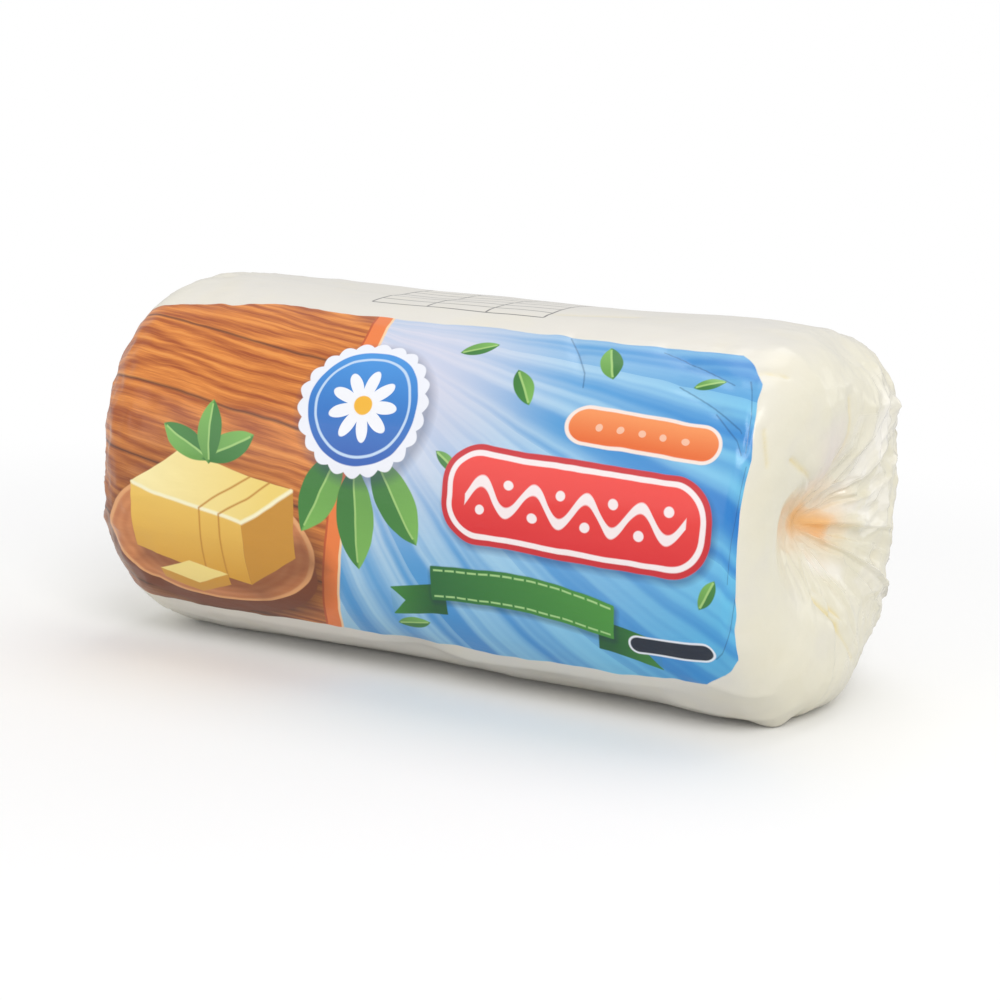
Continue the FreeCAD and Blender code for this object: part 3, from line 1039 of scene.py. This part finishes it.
def printed_side(plate, film, colour, stretch):
    """Lay the picture, inside a slightly wavy outline, and painted shade along its creases over a colour."""
    wave_place = plate.vector("MULTIPLY", film, (0.07, 0.07, 0))
    wave = plate.node("ShaderNodeTexNoise", {0: wave_place, 2: 1.0}, 1)
    wave = plate.vector("SUBTRACT", wave, (0.5, 0.5, 0.5))
    place = plate.vector("ADD", film, plate.vector("MULTIPLY", wave, (1.6, 1.6, 0)))
    waved = plate.vector("ADD", place, plate.vector("MULTIPLY", wave, (3, 3, 0)))
    inside = plate.mask(plate.polygon(waved, PRINT_OUTLINE))
    colour = plate.over(colour, picture(plate, place, stretch), inside)
    creases = [plate.line(film, points) for points in CREASE_SHADE_LINES if points[0][0] < stretch[1]]
    if not creases:
        return colour
    # Painted shade along the creases, only on the print
    crease_shade_mask = plate.mask(plate.merge("MINIMUM", creases), 0.08, 0.42, 0.75)
    return plate.over(colour, CREASE_SHADE, plate.sum("MULTIPLY", crease_shade_mask, inside))


# %% The film's material
def film_material(name, stretch):
    """Return film for one part of the sheet, with the print that falls on it."""
    material = bpy.data.materials.new(name)
    material.use_nodes = True
    tree = material.node_tree
    shader = tree.nodes["Principled BSDF"]
    plate = Plate(tree)
    film = plate.node("ShaderNodeUVMap", {}, uv_map="film")
    solid = plate.node("ShaderNodeTexCoord", {}, 3)
    solid = plate.vector("DIVIDE", solid, (MM, MM, MM))
    colour = bare_film(plate, film, solid)
    if name == "table_film":
        colour = ruled_table(plate, film, colour)
    if stretch:
        colour = printed_side(plate, film, colour, stretch)
    tree.links.new(colour, shader.inputs["Base Color"])
    fine_wrinkles = plate.noise(film, 5.5, 3.0, 0.6, (0.45, 1, 1))
    bump = tree.nodes.new("ShaderNodeBump")
    bump.inputs["Strength"].default_value = 0.35
    bump.inputs["Distance"].default_value = 0.5 * MM
    tree.links.new(fine_wrinkles, bump.inputs["Height"])
    tree.links.new(bump.outputs[0], shader.inputs["Normal"])
    gloss = plate.ramp(plate.mark("painted_highlights"), 0.0, 0.6, 0.32, 0.16)
    tree.links.new(gloss, shader.inputs["Roughness"])
    shader.inputs["Specular IOR Level"].default_value = 0.45
    shader.inputs["Coat Weight"].default_value = 0.25
    shader.inputs["Coat Roughness"].default_value = 0.16
    return material


for name, stretch in PARTS.items():
    wrapper.data.materials.append(film_material(name, stretch))
    print(name, "has", len(wrapper.data.materials[name].node_tree.nodes), "nodes")
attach(wrapper, "root")
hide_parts("butter_roll")

# %% [markdown]
# ## Floor, lamps and camera
#
# A pale seamless floor and four large soft lamps, as for a product shot. The camera stands low in front of
# the roll and to its right, so that the printed side and the gathered end both show.

# %% Floor
bpy.ops.mesh.primitive_plane_add(size=12)
floor = bpy.context.object
floor.name = "floor"
floor_material = bpy.data.materials.new("pale_floor")
floor_material.use_nodes = True
floor_plate = Plate(floor_material.node_tree)
floor_shader = floor_material.node_tree.nodes["Principled BSDF"]
camera_sees = floor_plate.node("ShaderNodeLightPath", {})
floor_colour = floor_plate.over((0.80, 0.80, 0.79, 1), (0.98, 0.98, 0.98, 1), camera_sees)
floor_material.node_tree.links.new(floor_colour, floor_shader.inputs["Base Color"])
floor_shader.inputs["Roughness"].default_value = 0.9
floor_shader.inputs["Specular IOR Level"].default_value = 0.1
from_roll = floor_plate.vector("LENGTH", floor_plate.node("ShaderNodeTexCoord", {}, 3))
far_off = floor_plate.sum("MULTIPLY", floor_plate.ramp(from_roll, 0.16, 0.34, smooth=True), camera_sees)
white = floor_plate.node("ShaderNodeEmission", {0: (1, 1, 1, 1), 1: 1.0})
fading = floor_plate.node("ShaderNodeMixShader", {0: far_off, 1: floor_shader.outputs[0], 2: white})
floor_material.node_tree.links.new(fading, floor_material.node_tree.nodes["Material Output"].inputs[0])
floor.data.materials.append(floor_material)
print("floor", round(floor.dimensions.x, 1), "m across")

# %% Lamps and sky
LAMP_TARGET = Vector((0, 0, 0.04))
# Name, place and size in metres, power in watts
LAMPS = [
    ("key_lamp", (0.7, -0.8, 1.0), 0.6, 6.0), ("fill_lamp", (-0.5, -1.0, 0.14), 0.7, 1.7),
    ("top_lamp", (0.0, 0.4, 1.3), 0.8, 3.1), ("back_lamp", (0.9, 1.0, 0.4), 0.6, 0.9)]


def soft_lamp(name, place, size, power):
    """Add a square soft lamp that points at the roll."""
    bpy.ops.object.light_add(type="AREA", location=place)
    lamp = bpy.context.object
    lamp.name = name
    lamp.data.size = size
    lamp.data.energy = power
    lamp.rotation_euler = (LAMP_TARGET - Vector(place)).to_track_quat("-Z", "Y").to_euler()
    print(lamp.name, power, "W")


for lamp_row in LAMPS:
    soft_lamp(*lamp_row)
world = bpy.data.worlds.new("pale_world")
bpy.context.scene.world = world
world.use_nodes = True
sky = world.node_tree.nodes["Background"]
sky_plate = Plate(world.node_tree)
camera_sees = sky_plate.node("ShaderNodeLightPath", {})
world.node_tree.links.new(sky_plate.ramp(camera_sees, 0, 1, 0.66, 1.0), sky.inputs["Strength"])
sky.inputs["Color"].default_value = (1, 1, 1, 1)

# %% Camera
CAMERA_DIRECTION = (26.6, 10.4)
CAMERA_DISTANCE = 0.4463
CAMERA_ROLL = 2.1
CAMERA_LENS = 68.0
AIM_OFFSET = (0.18, 0.69)     # degrees right of and below the roll's middle
bpy.ops.object.camera_add()
camera = bpy.context.object
camera.data.lens = CAMERA_LENS
camera.data.clip_start = 0.01
middle_point = (LOW + HIGH) / 2
side_angle, up_angle = (radians(value) for value in CAMERA_DIRECTION)
toward_camera = Vector((sin(side_angle) * cos(up_angle), -cos(side_angle) * cos(up_angle), sin(up_angle)))
camera.location = middle_point + toward_camera * CAMERA_DISTANCE
aim = (-toward_camera).to_track_quat("-Z", "Y").to_matrix()
aim = aim @ Matrix.Rotation(radians(-AIM_OFFSET[0]), 3, "Y")
aim = aim @ Matrix.Rotation(radians(-AIM_OFFSET[1]), 3, "X")
camera.rotation_euler = (aim @ Matrix.Rotation(radians(CAMERA_ROLL), 3, "Z")).to_euler()
bpy.context.scene.camera = camera
bpy.context.scene.view_settings.view_transform = "Standard"
print("camera stands", round(CAMERA_DISTANCE, 3), "m from the roll's middle")
